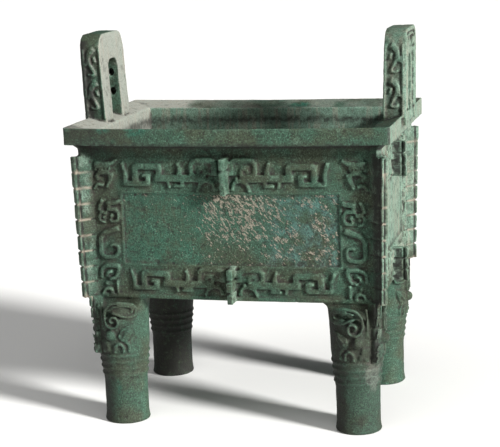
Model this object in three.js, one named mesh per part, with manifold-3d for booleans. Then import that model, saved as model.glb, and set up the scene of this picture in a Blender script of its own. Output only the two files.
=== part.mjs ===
import * as THREE from 'three';
import { mergeVertices } from 'three/addons/utils/BufferGeometryUtils.js';
import Module from 'manifold-3d';

// A four-legged bronze ding: a box-shaped vessel on four round legs, cast in one with its rim, its two
// upright ears, its flanges and its carving. Millimetres, +Z up. The origin is on the ground under the
// middle of the belly, and the long front wall faces -Y.

// The vessel
const LEG_HEIGHT = 452;
const BODY_LENGTH = 980;
const BODY_WIDTH = 660;
const BODY_HEIGHT = 531;
const WALL = 22;
const FLOOR = 24;

// The rim, whose top falls towards the mouth
const RIM_OVERHANG = 60;
const RIM_FACE = 59;
const RIM_FALL = 22;

// The ears on the two short sides, which lean outwards
const EAR_RISE = 288;
const EAR_HALF_WIDTH = 125;
const EAR_FOOT_THICKNESS = 72;
const EAR_TOP_THICKNESS = 65;
const EAR_OUTSET = 8;
const EAR_CORNER = 50;
const EAR_ROOT = 12;
const EAR_FRAME = 15;
const EAR_RELIEF = 7;
const LEFT_EAR_LEAN = 15;
const RIGHT_EAR_LEAN = 11;
const LOOP_HALF_WIDTH = 50;
const LOOP_HEIGHT = 195;
const LOOP_CORNER = 34;
const PIN_HOLE_DIAMETER = 21;
const PIN_HOLE_DEPTH = 26;
const PIN_HOLE_HEIGHTS = [78, 142];

// The legs, each with an animal mask above three rings
const LEG_SPAN_X = 822;
const LEG_SPAN_Y = 554;
const LEG_FOOT_RADIUS = 75;
const LEG_KNEE_RADIUS = 88;
const LEG_TOP_RADIUS = 93;
const LEG_FOOT_HEIGHT = 150;
const LEG_KNEE_HEIGHT = 275;
const LEG_FILLET = 22;
const LEG_SIDES = 14;
const RING_COUNT = 3;
const RING_FOOT = 168;
const RING_PITCH = 24;
const RING_WIDTH = 12;
const RING_RELIEF = 4;
const MASK_FOOT = 252;
const MASK_RELIEF = 7;
const HORN_TURN = 330;
const HORN_STEPS = 4;

// The flanges
const FLANGE_THICKNESS = 26;
const FLANGE_TOP_REACH = 60;
const FLANGE_FOOT_REACH = 44;
const FLANGE_ROOT = 30;
const FLANGE_NECK_REACH = 28;
const CENTRE_FLANGE_REACH = 58;
const CENTRE_FLANGE_THICKNESS = 20;
const FRONT_DRAGON_SHIFTS = [-14, 0];
const FRONT_FLANGE_SHIFTS = [-5, 7];
const LEG_FLANGE_THICKNESS = 20;
const LEG_FLANGE_REACH = 26;
const LEG_FLANGE_TURN = 4;
const NOTCH_PITCH = 66;
const NOTCH_WIDTH = 9;
const NOTCH_DEPTH = 8;

// The carved bands of the walls, round a sunken plain panel
const NECK = 42;
const UPPER_BAND = 122;
const LOWER_BAND = 118;
const SIDE_BAND = 115;
const SHORT_SIDE_BAND = 82;
const BASE_BORDER = 12;
const BASE_BORDER_RELIEF = 5;
const PANEL_DEPTH = 5;
const RELIEF = 9;
const SINK = 4;
const STROKE = 19;
const FINE_STROKE = 13;
const DRAGON_GAP = 26;
const DRAGON_HEAD = 88;
const DRAGON_TAIL = 116;

const RIM_UNDER = LEG_HEIGHT + BODY_HEIGHT;
const RIM_TOP = RIM_UNDER + RIM_FACE;
const BAND_TOP = RIM_UNDER - NECK;
const PANEL_TOP = BAND_TOP - UPPER_BAND;
const PANEL_FOOT = LEG_HEIGHT + LOWER_BAND;
const MOUTH_LENGTH = BODY_LENGTH - 2 * WALL;
const MOUTH_WIDTH = BODY_WIDTH - 2 * WALL;

const { lerp, degToRad } = THREE.MathUtils;
const wasm = await Module();
wasm.setup();

function at(u, v) {
  return new THREE.Vector2(u, v);
}

// A closed geometry as a solid with its faces pointing out
function solid(geometry) {
  const bare = geometry.clone();
  bare.deleteAttribute('normal');
  bare.deleteAttribute('uv');
  const merged = mergeVertices(bare, 0.001);
  const vertProperties = new Float32Array(merged.attributes.position.array);
  const triVerts = new Uint32Array(merged.index.array);
  if (signedVolume(vertProperties, triVerts) < 0) {
    triVerts.reverse();
  }
  return new wasm.Manifold(new wasm.Mesh({ numProp: 3, vertProperties, triVerts }));
}

function signedVolume(places, triangles) {
  const [a, b, c] = [new THREE.Vector3(), new THREE.Vector3(), new THREE.Vector3()];
  let volume = 0;
  for (let i = 0; i < triangles.length; i += 3) {
    a.fromArray(places, 3 * triangles[i]);
    b.fromArray(places, 3 * triangles[i + 1]);
    c.fromArray(places, 3 * triangles[i + 2]);
    volume += a.dot(b.cross(c)) / 6;
  }
  return volume;
}

function geometryOf(body) {
  const mesh = body.getMesh();
  const geometry = new THREE.BufferGeometry();
  geometry.setAttribute('position', new THREE.BufferAttribute(mesh.vertProperties, 3));
  geometry.setIndex(new THREE.BufferAttribute(mesh.triVerts, 1));
  geometry.computeVertexNormals();
  return geometry;
}

function join(bodies) {
  return bodies.reduce((whole, body) => whole.add(body));
}

function moveEach(geometry, move) {
  const places = geometry.attributes.position;
  const point = new THREE.Vector3();
  for (let i = 0; i < places.count; i += 1) {
    point.fromBufferAttribute(places, i);
    move(point);
    places.setXYZ(i, point.x, point.y, point.z);
  }
  return geometry;
}

function plate(shape, depth) {
  return new THREE.ExtrudeGeometry(shape, { depth, bevelEnabled: false, curveSegments: 2 });
}

// A box between two heights, whose top may be larger than its foot
function block(length, width, low, high, topLength = length, topWidth = width) {
  const middle = (low + high) / 2;
  const geometry = new THREE.BoxGeometry(length, width, high - low);
  geometry.translate(0, 0, middle);
  return solid(moveEach(geometry, (point) => {
    if (point.z > middle) {
      point.x *= topLength / length;
      point.y *= topWidth / width;
    }
  }));
}

// A band of even or tapering width along a line of points, with mitred corners
function ribbon(points, width, tipWidth = width) {
  const last = points.length - 1;
  const headings = points.slice(1).map((point, i) => point.clone().sub(points[i]).normalize());
  const left = [];
  const right = [];
  points.forEach((point, i) => {
    const arriving = headings[Math.max(i - 1, 0)];
    const leaving = headings[Math.min(i, last - 1)];
    const halfWidth = lerp(width, tipWidth, i / last) / 2;
    const across = at(-arriving.y - leaving.y, arriving.x + leaving.x);
    across.multiplyScalar(halfWidth / (1 + arriving.dot(leaving)));
    left.push(point.clone().add(across));
    right.unshift(point.clone().sub(across));
  });
  return new THREE.Shape([...left, ...right]);
}

// A round boss with few sides
function boss(centre, radius, sides = 6) {
  const points = [];
  for (let i = 0; i < sides; i += 1) {
    const angle = ((i + 0.5) / sides) * 2 * Math.PI;
    points.push(at(centre.x + radius * Math.cos(angle), centre.y + radius * Math.sin(angle)));
  }
  return new THREE.Shape(points);
}

function bothWays(shapes) {
  const mirrored = (shape) => new THREE.Shape(shape.getPoints().map((point) => at(-point.x, point.y)));
  return [...shapes, ...shapes.map(mirrored)];
}

// The four walls, each drawn as the front wall and turned to its side. On a wall u runs to the right
// from its middle and v up from the ground. Its right-hand corner lies in the quarter given by signs.
// Its axes are how far the dragons and the flanges stand off its middle, in the upper and in the lower
// band. The front and the right wall are the ones shown, and the other two carry only the main figures.
const CENTRED = { dragonAxes: [0, 0], flangeAxes: [0, 0] };
const OFF_CENTRE = { dragonAxes: FRONT_DRAGON_SHIFTS, flangeAxes: FRONT_FLANGE_SHIFTS };
const LONG_WALL = { half: BODY_LENGTH / 2, out: BODY_WIDTH / 2, side: SIDE_BAND };
const SHORT_WALL = { half: BODY_WIDTH / 2, out: BODY_LENGTH / 2, side: SHORT_SIDE_BAND };
const WALLS = [
  { ...LONG_WALL, ...OFF_CENTRE, turn: 0, signs: [1, -1], shown: true },
  { ...SHORT_WALL, ...CENTRED, turn: 90, signs: [1, 1], shown: true },
  { ...LONG_WALL, ...CENTRED, turn: 180, signs: [-1, 1], shown: false },
  { ...SHORT_WALL, ...CENTRED, turn: 270, signs: [-1, -1], shown: false },
];

function onWall(wall, shape, axis) {
  const geometry = plate(shape, RELIEF + SINK);
  geometry.rotateX(Math.PI / 2);
  geometry.translate(axis, SINK - wall.out, 0);
  geometry.rotateZ(degToRad(wall.turn));
  return solid(geometry);
}

// The box with its rim, hollowed from above, and a border round the belly's edge
function vessel() {
  const rimLength = BODY_LENGTH + 2 * RIM_OVERHANG;
  const rimWidth = BODY_WIDTH + 2 * RIM_OVERHANG;
  const borderLength = BODY_LENGTH + 2 * BASE_BORDER_RELIEF;
  const borderWidth = BODY_WIDTH + 2 * BASE_BORDER_RELIEF;
  const body = block(BODY_LENGTH, BODY_WIDTH, LEG_HEIGHT, RIM_UNDER + SINK);
  const border = block(borderLength, borderWidth, LEG_HEIGHT, LEG_HEIGHT + BASE_BORDER);
  const rim = block(rimLength, rimWidth, RIM_UNDER, RIM_TOP);
  const cavity = block(MOUTH_LENGTH, MOUTH_WIDTH, LEG_HEIGHT + FLOOR, RIM_TOP);
  const slope = block(MOUTH_LENGTH, MOUTH_WIDTH, RIM_TOP - RIM_FALL, RIM_TOP, rimLength, rimWidth);
  return join([body, border, rim]).subtract(cavity).subtract(slope);
}

function sunkenPanel(wall) {
  const width = 2 * (wall.half - wall.side);
  const geometry = new THREE.BoxGeometry(width, 2 * PANEL_DEPTH, PANEL_TOP - PANEL_FOOT);
  geometry.translate(0, -wall.out, (PANEL_TOP + PANEL_FOOT) / 2);
  geometry.rotateZ(degToRad(wall.turn));
  return solid(geometry);
}

// A dragon in profile that faces the flange in the middle of its band: a head with a rounded crown, a
// straight body with a spur and a foot, and a squared tail that turns back on itself. On a short wall
// the figure is drawn closer.
function dragon(reach, low, height) {
  const closer = Math.min(1, reach / (BODY_LENGTH / 2 - SIDE_BAND));
  const stroke = STROKE * Math.sqrt(closer);
  const fine = FINE_STROKE * Math.sqrt(closer);
  const v = (share) => low + share * height;
  const nose = DRAGON_GAP * closer;
  const nape = nose + DRAGON_HEAD * closer;
  const tailEnd = reach - stroke;
  const tailStart = tailEnd - DRAGON_TAIL * closer;
  const tailTip = lerp(tailStart, tailEnd, 0.35);
  const tailBack = lerp(tailStart, tailEnd, 0.69);
  const spur = (nape + tailStart) / 2;
  const head = [
    at(nose, v(0.48)), at(nape, v(0.48)), at(nape, v(0.88)), at(nape - stroke / 2, v(0.96)),
    at(nose + stroke, v(0.96)), at(nose, v(0.8)),
  ];
  const tail = [
    at(nape - stroke, v(0.42)), at(tailStart, v(0.42)), at(tailStart, v(0.74)), at(tailBack, v(0.74)),
    at(tailBack, v(0.25)), at(tailTip, v(0.25)), at(tailTip, v(0.5)),
  ];
  const outerTail = [at(tailBack, v(0.25)), at(tailEnd, v(0.25)), at(tailEnd, v(0.84))];
  const jaw = [
    at(nose + fine, v(0.06)), at(nose + fine, v(0.36)), at(nape - fine, v(0.3)), at(nape - fine, v(0.06)),
  ];
  const foot = [at(spur - fine, v(0.4)), at(spur - fine, v(0.17)), at(spur + 2 * fine, v(0.17))];
  return {
    main: [new THREE.Shape(head), ribbon(tail, stroke), ribbon(outerTail, stroke * 0.8)],
    small: [
      ribbon([at(spur, v(0.44)), at(spur - fine / 3, v(0.86))], stroke * 0.8),
      ribbon(jaw, fine),
      ribbon(foot, fine),
    ],
  };
}

// The figures of a side band, one above another: a crested head, a standing dragon with a hooked tail,
// and a small squared creature
function sideFigures(inner, width) {
  const fine = FINE_STROKE * Math.sqrt(width / SIDE_BAND);
  const u = (share) => inner + share * width;
  const upper = (share) => PANEL_TOP + share * UPPER_BAND;
  const middle = (share) => lerp(PANEL_FOOT, PANEL_TOP, share);
  const lower = (share) => LEG_HEIGHT + share * LOWER_BAND;
  const crest = [at(u(0.06), upper(0.92)), at(u(0.26), upper(0.76)), at(u(0.78), upper(0.75))];
  const cheek = [at(u(0.24), upper(0.55)), at(u(0.46), upper(0.14))];
  const horn = [at(u(0.06), middle(0.97)), at(u(0.46), middle(0.92))];
  const face = [
    at(u(0.46), middle(0.83)), at(u(0.1), middle(0.83)), at(u(0.1), middle(0.63)), at(u(0.4), middle(0.63)),
  ];
  const tail = [
    at(u(0.12), middle(0.5)), at(u(0.68), middle(0.43)), at(u(0.68), middle(0.09)), at(u(0.17), middle(0.09)),
    at(u(0.17), middle(0.26)), at(u(0.4), middle(0.26)),
  ];
  const brow = [
    at(u(0.3), lower(0.5)), at(u(0.14), lower(0.9)), at(u(0.68), lower(0.9)), at(u(0.7), lower(0.5)),
  ];
  return {
    main: [
      ribbon(crest, fine / 2, 2 * fine),
      ribbon(face, fine),
      ribbon(tail, 1.2 * fine),
      ribbon(brow, fine),
    ],
    small: [ribbon(cheek, 1.3 * fine, fine), ribbon(horn, fine)],
  };
}

function wallCarving(wall) {
  const panelEdge = wall.half - wall.side;
  const shown = ({ main, small }) => bothWays(wall.shown ? [...main, ...small] : main);
  const bands = [[PANEL_TOP, UPPER_BAND], [LEG_HEIGHT + BASE_BORDER, LOWER_BAND - BASE_BORDER]];
  const dragons = bands.flatMap(([foot, height], i) => {
    const axis = wall.dragonAxes[i];
    const pair = shown(dragon(panelEdge - Math.abs(axis), foot, height));
    return pair.map((shape) => onWall(wall, shape, axis));
  });
  return [
    ...dragons,
    ...shown(sideFigures(panelEdge, wall.side)).map((shape) => onWall(wall, shape, 0)),
  ];
}

// A flange as an upright plate that reaches out along X, with notches in its edge at even steps
function flange(root, footReach, topReach, low, high, thickness) {
  const steps = Math.max(1, Math.round((high - low) / NOTCH_PITCH));
  const reach = (z) => lerp(footReach, topReach, (z - low) / (high - low));
  const edge = [at(root, low), at(footReach, low)];
  for (let i = 1; i < steps; i += 1) {
    const z = lerp(low, high, i / steps);
    edge.push(at(reach(z), z - NOTCH_WIDTH / 2));
    edge.push(at(reach(z) - NOTCH_DEPTH, z));
    edge.push(at(reach(z), z + NOTCH_WIDTH / 2));
  }
  edge.push(at(topReach, high), at(root, high));
  const geometry = plate(new THREE.Shape(edge), thickness);
  geometry.translate(0, 0, -thickness / 2);
  return geometry.rotateX(Math.PI / 2);
}

function cornerFlange(wall) {
  const geometry = flange(
    -FLANGE_ROOT, FLANGE_FOOT_REACH, FLANGE_TOP_REACH, LEG_HEIGHT, BAND_TOP, FLANGE_THICKNESS,
  );
  return onCorner(wall, geometry);
}

function onCorner(wall, geometry) {
  const [signX, signY] = wall.signs;
  geometry.rotateZ(Math.atan2(signY, signX));
  geometry.translate((signX * BODY_LENGTH) / 2, (signY * BODY_WIDTH) / 2, 0);
  return solid(geometry);
}

// Above a corner flange: a narrower neck that spreads again under the rim
function flangeNeck(wall) {
  const foot = BAND_TOP - SINK;
  const top = RIM_UNDER + SINK;
  const outline = new THREE.Shape([
    at(-FLANGE_ROOT, foot), at(FLANGE_NECK_REACH, foot), at(FLANGE_NECK_REACH, lerp(foot, top, 0.6)),
    at(FLANGE_TOP_REACH, top), at(-FLANGE_ROOT, top),
  ]);
  const geometry = plate(outline, FLANGE_THICKNESS);
  geometry.translate(0, 0, -FLANGE_THICKNESS / 2);
  return onCorner(wall, geometry.rotateX(Math.PI / 2));
}

function centreFlanges(wall) {
  return [[PANEL_TOP, BAND_TOP], [LEG_HEIGHT, PANEL_FOOT]].map(([low, high], i) => {
    const geometry = flange(
      -WALL / 2, CENTRE_FLANGE_REACH, CENTRE_FLANGE_REACH, low, high, CENTRE_FLANGE_THICKNESS,
    );
    geometry.translate(wall.out, wall.flangeAxes[i], 0);
    geometry.rotateZ(degToRad(wall.turn - 90));
    return solid(geometry);
  });
}

// A leg's radius at a height: a straight foot that swells towards the mask and the shoulder
function legRadius(z) {
  if (z < LEG_KNEE_HEIGHT) {
    const swell = Math.max(0, (z - LEG_FOOT_HEIGHT) / (LEG_KNEE_HEIGHT - LEG_FOOT_HEIGHT));
    return lerp(LEG_FOOT_RADIUS, LEG_KNEE_RADIUS, swell);
  }
  return lerp(LEG_KNEE_RADIUS, LEG_TOP_RADIUS, (z - LEG_KNEE_HEIGHT) / (LEG_HEIGHT - LEG_KNEE_HEIGHT));
}

function turned(profile) {
  return solid(new THREE.LatheGeometry(profile, LEG_SIDES).rotateX(Math.PI / 2));
}

// The column of a leg, and the fillet by which it spreads under the belly
function column() {
  const profile = [at(0, 0), at(LEG_FOOT_RADIUS, 0), at(LEG_FOOT_RADIUS, LEG_FOOT_HEIGHT)];
  for (let i = 0; i < RING_COUNT; i += 1) {
    const z = RING_FOOT + i * RING_PITCH;
    profile.push(at(legRadius(z), z), at(legRadius(z) + RING_RELIEF, z + RING_WIDTH / 2));
    profile.push(at(legRadius(z + RING_WIDTH), z + RING_WIDTH));
  }
  profile.push(at(LEG_KNEE_RADIUS, LEG_KNEE_HEIGHT), at(LEG_TOP_RADIUS, LEG_HEIGHT - LEG_FILLET));
  profile.push(at(LEG_TOP_RADIUS - LEG_FILLET / 2, LEG_HEIGHT + SINK), at(0, LEG_HEIGHT + SINK));
  return turned(profile);
}

function shoulder() {
  const start = LEG_HEIGHT - 2 * LEG_FILLET;
  return turned([
    at(0, start), at(legRadius(start), start),
    at(LEG_TOP_RADIUS + LEG_FILLET / 3, LEG_HEIGHT - LEG_FILLET / 2),
    at(LEG_TOP_RADIUS + LEG_FILLET, LEG_HEIGHT + SINK), at(0, LEG_HEIGHT + SINK),
  ]);
}

// Half of an animal mask, drawn flat: s runs round the leg from its flange, z is the height. It has a
// horn that curls at its end, a round eye, a cheek and a jaw.
function halfMask() {
  const s = (share) => share * LEG_TOP_RADIUS;
  const z = (share) => lerp(MASK_FOOT, LEG_HEIGHT, share);
  const horn = [at(s(1.6), z(0.76)), at(s(1.1), z(0.81))];
  for (let i = 0; i <= HORN_STEPS; i += 1) {
    const angle = degToRad(95 + (i * HORN_TURN) / HORN_STEPS);
    const radius = lerp(s(0.37), s(0.13), i / HORN_STEPS);
    horn.push(at(s(0.75) + radius * Math.cos(angle), z(0.6) + radius * Math.sin(angle)));
  }
  const jaw = [at(s(0.9), z(0.02)), at(s(0.94), z(0.19)), at(s(1.24), z(0.17))];
  return [
    ribbon(horn, 1.3 * STROKE, 0.6 * STROKE),
    boss(at(s(0.62), z(0.365)), STROKE),
    boss(at(s(1.22), z(0.4)), 1.15 * STROKE, 5),
    ribbon(jaw, FINE_STROKE),
  ];
}

function onLeg(shape) {
  const geometry = plate(shape, MASK_RELIEF + SINK);
  return solid(moveEach(geometry, (point) => {
    const angle = point.x / LEG_TOP_RADIUS;
    const radius = legRadius(point.y) - SINK + point.z;
    point.set(radius * Math.cos(angle), radius * Math.sin(angle), point.y);
  }));
}

function legFlange() {
  const root = -2 * LEG_FILLET;
  const geometry = flange(
    root, LEG_FLANGE_REACH, LEG_FLANGE_REACH, MASK_FOOT, LEG_HEIGHT + SINK, LEG_FLANGE_THICKNESS,
  );
  return solid(moveEach(geometry, (point) => {
    point.x += legRadius(Math.min(point.z, LEG_HEIGHT));
  }));
}

function leg(wall) {
  const [signX, signY] = wall.signs;
  const place = [(signX * LEG_SPAN_X) / 2, (signY * LEG_SPAN_Y) / 2, 0];
  const outward = THREE.MathUtils.radToDeg(Math.atan2(signY, signX)) - signX * signY * LEG_FLANGE_TURN;
  const underBelly = block(BODY_LENGTH, BODY_WIDTH, 0, LEG_HEIGHT + SINK);
  const dressed = join([legFlange(), ...bothWays(halfMask()).map(onLeg)]).rotate([0, 0, outward]);
  return join([
    column().add(dressed).translate(place),
    shoulder().translate(place).intersect(underBelly),
  ]);
}

const EARS = [
  { side: -1, lean: LEFT_EAR_LEAN },
  { side: 1, lean: RIGHT_EAR_LEAN },
];
const EAR_FOOT = RIM_TOP - RIM_FALL - EAR_ROOT;
const EAR_INNER_X = BODY_LENGTH / 2 + RIM_OVERHANG + EAR_OUTSET - EAR_FOOT_THICKNESS;

// A place in an ear: how far across its thickness, from 0 at the mouth to 1 outside, then y and z
function inEar(ear, across, y, z) {
  const rise = (z - RIM_TOP) / EAR_RISE;
  const thickness = lerp(EAR_FOOT_THICKNESS, EAR_TOP_THICKNESS, rise);
  return new THREE.Vector3(ear.side * (EAR_INNER_X + ear.lean * rise + across * thickness), y, z);
}

// An upright loop, open at its foot: the outline of an ear
function loop(foot, halfWidth, height, round, innerHalfWidth, innerHeight, innerRound) {
  const top = RIM_TOP + height;
  const innerTop = RIM_TOP + innerHeight;
  const shape = new THREE.Shape();
  shape.moveTo(halfWidth, foot);
  shape.lineTo(halfWidth, top - round);
  shape.absarc(halfWidth - round, top - round, round, 0, Math.PI / 2);
  shape.absarc(round - halfWidth, top - round, round, Math.PI / 2, Math.PI);
  shape.lineTo(-halfWidth, foot);
  shape.lineTo(-innerHalfWidth, foot);
  shape.absarc(innerRound - innerHalfWidth, innerTop - innerRound, innerRound, Math.PI, Math.PI / 2, true);
  shape.absarc(innerHalfWidth - innerRound, innerTop - innerRound, innerRound, Math.PI / 2, 0, true);
  shape.lineTo(innerHalfWidth, foot);
  return shape;
}

function earBody(ear) {
  const outline = loop(
    EAR_FOOT, EAR_HALF_WIDTH, EAR_RISE, EAR_CORNER, LOOP_HALF_WIDTH, LOOP_HEIGHT, LOOP_CORNER,
  );
  return solid(moveEach(plate(outline, 1), (point) => point.copy(inEar(ear, point.z, point.x, point.y))));
}

// Half of the outer face's carving: a tiger that climbs the side and turns its head in at the top
function halfTiger() {
  const y = (share) => share * EAR_HALF_WIDTH;
  const z = (share) => RIM_TOP + share * EAR_RISE;
  const back = [at(y(0.66), z(0.12)), at(y(0.66), z(0.66)), at(y(0.56), z(0.84))];
  const head = [at(y(0.56), z(0.84)), at(y(0.38), z(0.88)), at(y(0.16), z(0.85))];
  return [
    ribbon(back, STROKE, 2 * STROKE),
    ribbon(head, STROKE, FINE_STROKE),
  ];
}

function outerCarving(ear) {
  const frame = loop(
    RIM_TOP - SINK, EAR_HALF_WIDTH, EAR_RISE, EAR_CORNER,
    EAR_HALF_WIDTH - EAR_FRAME, EAR_RISE - EAR_FRAME, EAR_CORNER - EAR_FRAME,
  );
  return [frame, ...bothWays(halfTiger())].map((shape) => {
    const geometry = plate(shape, EAR_RELIEF + SINK);
    return solid(moveEach(geometry, (point) => {
      const foot = inEar(ear, 1, point.x, point.y);
      foot.x += ear.side * (point.z - SINK);
      point.copy(foot);
    }));
  });
}

// The front and back edges of an ear: a raised border on each side of two fishes, one above the other
function edgeCarving(ear) {
  const across = (share) => share * EAR_FOOT_THICKNESS;
  const z = (share) => RIM_TOP + share * (EAR_RISE - EAR_CORNER);
  const borders = [0.07, 0.93].map((share) => (
    ribbon([at(across(share), z(0) - SINK), at(across(share), z(1))], across(0.12))
  ));
  const fishes = [0.08, 0.55].map((foot) => ribbon([
    at(across(0.36), z(foot)), at(across(0.6), z(foot + 0.14)), at(across(0.42), z(foot + 0.28)),
    at(across(0.56), z(foot + 0.38)),
  ], FINE_STROKE / 2, 1.6 * FINE_STROKE));
  return [-1, 1].flatMap((end) => [...borders, ...fishes].map((shape) => {
    const geometry = plate(shape, EAR_RELIEF + SINK);
    return solid(moveEach(geometry, (point) => {
      const y = end * (EAR_HALF_WIDTH - SINK + point.z);
      point.copy(inEar(ear, point.x / EAR_FOOT_THICKNESS, y, point.y));
    }));
  }));
}

// The two blind round holes in the far side of the left ear's loop
function pinHoles() {
  return PIN_HOLE_HEIGHTS.map((height) => {
    const radius = PIN_HOLE_DIAMETER / 2;
    const geometry = new THREE.CylinderGeometry(radius, radius, 2 * PIN_HOLE_DEPTH, 10);
    const { x, y, z } = inEar(EARS[0], 0.5, LOOP_HALF_WIDTH, RIM_TOP + height);
    return solid(geometry.translate(x, y, z));
  });
}

function ding() {
  const walls = vessel().subtract(join(WALLS.map(sunkenPanel)));
  const whole = join([
    walls,
    ...WALLS.map(leg),
    ...WALLS.map(cornerFlange),
    ...WALLS.map(flangeNeck),
    ...WALLS.flatMap(centreFlanges),
    ...WALLS.flatMap(wallCarving),
    ...EARS.map(earBody),
    ...EARS.flatMap(outerCarving),
    ...EARS.flatMap(edgeCarving),
  ]);
  return whole.subtract(join(pinHoles()));
}

const patina = new THREE.MeshStandardMaterial({ color: 0x55705f, roughness: 0.8, metalness: 0.35 });
const vesselMesh = new THREE.Mesh(geometryOf(ding()), patina);
vesselMesh.name = 'ding_vessel';

const group = new THREE.Group();
group.add(vesselMesh);

export default group;
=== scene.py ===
"""A four-legged bronze ding: a box-shaped vessel with a wide rim and two loop ears, on four round legs.

It is one casting, so it is one mesh. Its walls, legs, ears, flanges and carved figures are modelled
apart, welded by a voxel remesh, and then worn, pitted and encrusted by small moves of the surface.
"""

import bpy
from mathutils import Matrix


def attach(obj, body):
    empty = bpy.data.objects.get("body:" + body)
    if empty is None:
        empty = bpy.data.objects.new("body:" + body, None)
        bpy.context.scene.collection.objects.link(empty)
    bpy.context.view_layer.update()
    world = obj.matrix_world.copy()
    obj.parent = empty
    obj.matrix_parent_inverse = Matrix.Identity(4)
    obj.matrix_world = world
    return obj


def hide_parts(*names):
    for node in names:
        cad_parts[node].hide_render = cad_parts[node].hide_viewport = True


bl_info = {
    "name": "Bronze Ding",
    "version": (1, 0, 0),
    "blender": (4, 5, 0),
    "location": "View3D > Sidebar > Ding",
    "description": "Models an ancient box-shaped bronze ding with its carving and its green patina",
    "category": "Add Mesh",
}

from itertools import product
from math import atan2, copysign, cos, hypot, pi, radians, sin
from random import Random

import bmesh
import bpy
import numpy as np
from mathutils import Matrix, Vector

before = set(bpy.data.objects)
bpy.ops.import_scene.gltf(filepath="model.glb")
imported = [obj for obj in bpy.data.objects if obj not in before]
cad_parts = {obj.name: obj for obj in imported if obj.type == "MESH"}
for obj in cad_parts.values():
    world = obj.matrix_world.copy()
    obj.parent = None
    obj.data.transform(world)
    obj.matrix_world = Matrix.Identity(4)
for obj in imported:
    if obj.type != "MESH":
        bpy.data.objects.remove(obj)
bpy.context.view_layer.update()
MM = 0.001

# The carved bands, in millimetres
NECK = 42
UPPER_BAND = 122
LOWER_BAND = 118
SIDE_BAND = 115
SHORT_SIDE_BAND = 82
BORDER = 12
BAND_RELIEF = 5
CORNER_ROUND = 9
# How deep each plate and stroke is sunk into what carries it
SINK = 4

# How far the front's dragons and flanges stand off its middle, in the upper and in the lower band
DRAGON_SHIFTS = (-14, 0)
FLANGE_SHIFTS = (-5, 7)

# The ears, in millimetres
EAR_HALF_WIDTH = 125
EAR_FOOT_THICKNESS = 72
EAR_TOP_THICKNESS = 65
EAR_OUTSET = 8
EAR_CORNER = 50
EAR_SEAT = 34
EAR_FRAMES = ((7, 13), (26, 5))
FRAME_HEIGHT = 7
FISH_INSET = 8
FISH_HEIGHT = 7
LOOP_HALF_WIDTH = 50
LOOP_HEIGHT = 195
LOOP_CORNER = 34
PIN_HOLE = 21
PIN_HOLE_DEPTH = 22
PIN_HOLE_STRETCH = 1.2
PIN_HOLE_HEIGHTS = (73, 141)
PIN_HOLE_SHIFT = 6

# The legs, in millimetres: height and radius of each bend of their outline
LEG_SPAN_X = 822
LEG_SPAN_Y = 554
LEG_BENDS = ((0, 75), (150, 75), (275, 88), (430, 93))
LEG_FILLET = 22
RING_HEIGHTS = (174, 198, 222, 246)
MASK_FOOT = 252
LEG_FLANGE_TURN = 4

# The flanges, in millimetres
FLANGE_ROOT = -30
FLANGE_FOOT_REACH = 44
FLANGE_TOP_REACH = 60
FLANGE_THICKNESS = 26
FLANGE_PITCH = 57
FLANGE_NECK = 28
CENTRE_REACH = 58
CENTRE_THICKNESS = 20
LEG_FLANGE_ROOT = -40
LEG_FLANGE_REACH = 26
LEG_FLANGE_THICKNESS = 20
SMALL_PITCH = 40
CUT = 7
CUT_DEPTH = 5
GROOVE = 8
# The share of a flange's reach that lies outside its groove
OUTER_STRIP = 0.27
EDGE_GROOVE_DEPTH = 4

# The lumps of the skin, in millimetres: broad, middling and small
LUMPS = (160, 45, 17)

# Oval patches of the patina, each with the place of its middle and its half sizes: teal blots on the
# rim's front as x and depth below its top, teal on the back rim as x and y, and a teal streak on the
# front left foot and a grey scrape on the front right leg as x and z
RIM_BLOTS = ((-300, 8, 34, 19), (-405, 6, 26, 10), (-372, 48, 9, 7))
BACK_RIM_PATCH = (105, 345, 48, 24)
LEG_STREAK = (-411, 140, 8, 26)
LEG_SCRAPE = (470, 205, 22, 48)


def length(name, description, default):
    return bpy.props.FloatProperty(name=name, description=description, default=default, unit="LENGTH")


class DingSizes(bpy.types.PropertyGroup):
    body_length: length("Body length", "Length of the box without its rim", 0.98)
    body_width: length("Body width", "Width of the box without its rim", 0.66)
    body_height: length("Body height", "From the belly to the underside of the rim", 0.531)
    leg_height: length("Leg height", "From the ground to the belly", 0.452)
    wall: length("Wall", "Thickness of the walls", 0.022)
    floor: length("Floor", "Thickness of the floor", 0.024)
    rim_overhang: length("Rim overhang", "How far the rim stands out past the walls", 0.06)
    rim_face: length("Rim face", "Height of the rim's outer face", 0.059)
    rim_fall: length("Rim fall", "How far the rim's top falls towards the mouth", 0.022)
    ear_rise: length("Ear rise", "Height of the ears above the rim", 0.288)
    left_lean: length("Left ear's lean", "How far the left ear's top leans out", 0.015)
    right_lean: length("Right ear's lean", "How far the right ear's top leans out", 0.011)
    relief: length("Relief", "Height of the carved figures", 0.009)
    sag: length("Sag", "How far the long walls bow outwards in their middle", 0.008)
    voxel: length("Voxel", "Grid on which the casting is welded together", 0.003)
    triangles: bpy.props.IntProperty(
        name="Triangles", description="Most triangles of the finished casting", default=194000)


def colour(name, description, default):
    return bpy.props.StringProperty(name=name, description=description, default=default)


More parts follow.
